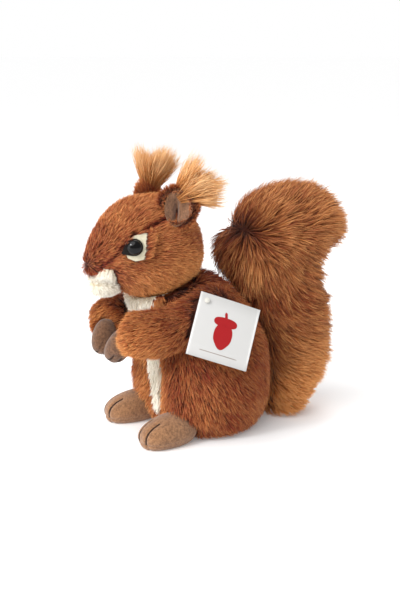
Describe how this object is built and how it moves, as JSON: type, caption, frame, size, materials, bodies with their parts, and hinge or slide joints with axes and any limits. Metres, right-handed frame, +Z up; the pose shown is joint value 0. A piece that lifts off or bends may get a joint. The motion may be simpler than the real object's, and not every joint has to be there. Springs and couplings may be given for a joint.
{
  "type": "plush squirrel",
  "caption": "Seated stuffed toy squirrel with red-brown fur, a bushy upright tail, tufted ears, a cream belly and its hands held together",
  "frame": {"origin": "Middle of the flat underside of the seat, on the floor", "axes": "+Z up; the squirrel faces -Y; its left side is +X; it is symmetric about X = 0, apart from the tag on its left flank and the lean of its ear tufts"},
  "size_m": [0.0977, 0.1677, 0.1631],
  "materials": {
    "red_brown_fur": "plush pile",
    "tail_fur": "long plush pile",
    "tuft_hair": "long loose hair",
    "cream_fur": "short plush pile",
    "velour": "short velour",
    "cream_felt": "felt",
    "black_felt": "felt",
    "eye_plastic": "polished",
    "washer_plastic": "moulded",
    "thread": "twisted thread",
    "card": null,
    "nylon": "clear white nylon"
  },
  "bodies": {
    "root": {"torso": "red_brown_fur", "head": "red_brown_fur", "belly_panel": "cream_fur", "muzzle": "cream_fur", "tail": "tail_fur", "swing_tag": "card", "tag_pin": "nylon", "arm_left": "red_brown_fur", "hand_left": "velour", "finger_thread_left_1": "thread", "finger_thread_left_2": "thread", "foot_left": "velour", "toe_thread_left_1": "thread", "toe_thread_left_2": "thread", "ear_left": "red_brown_fur", "ear_lining_left": "velour", "ear_tuft_left": "tuft_hair", "eye_patch_left": "cream_felt", "eye_backing_left": "black_felt", "eye_left": "eye_plastic", "eye_washer_left": "washer_plastic", "arm_right": "red_brown_fur", "hand_right": "velour", "finger_thread_right_1": "thread", "finger_thread_right_2": "thread", "foot_right": "velour", "toe_thread_right_1": "thread", "toe_thread_right_2": "thread", "ear_right": "red_brown_fur", "ear_lining_right": "velour", "ear_tuft_right": "tuft_hair", "eye_patch_right": "cream_felt", "eye_backing_right": "black_felt", "eye_right": "eye_plastic", "eye_washer_right": "washer_plastic"}
  },
  "joints": []
}
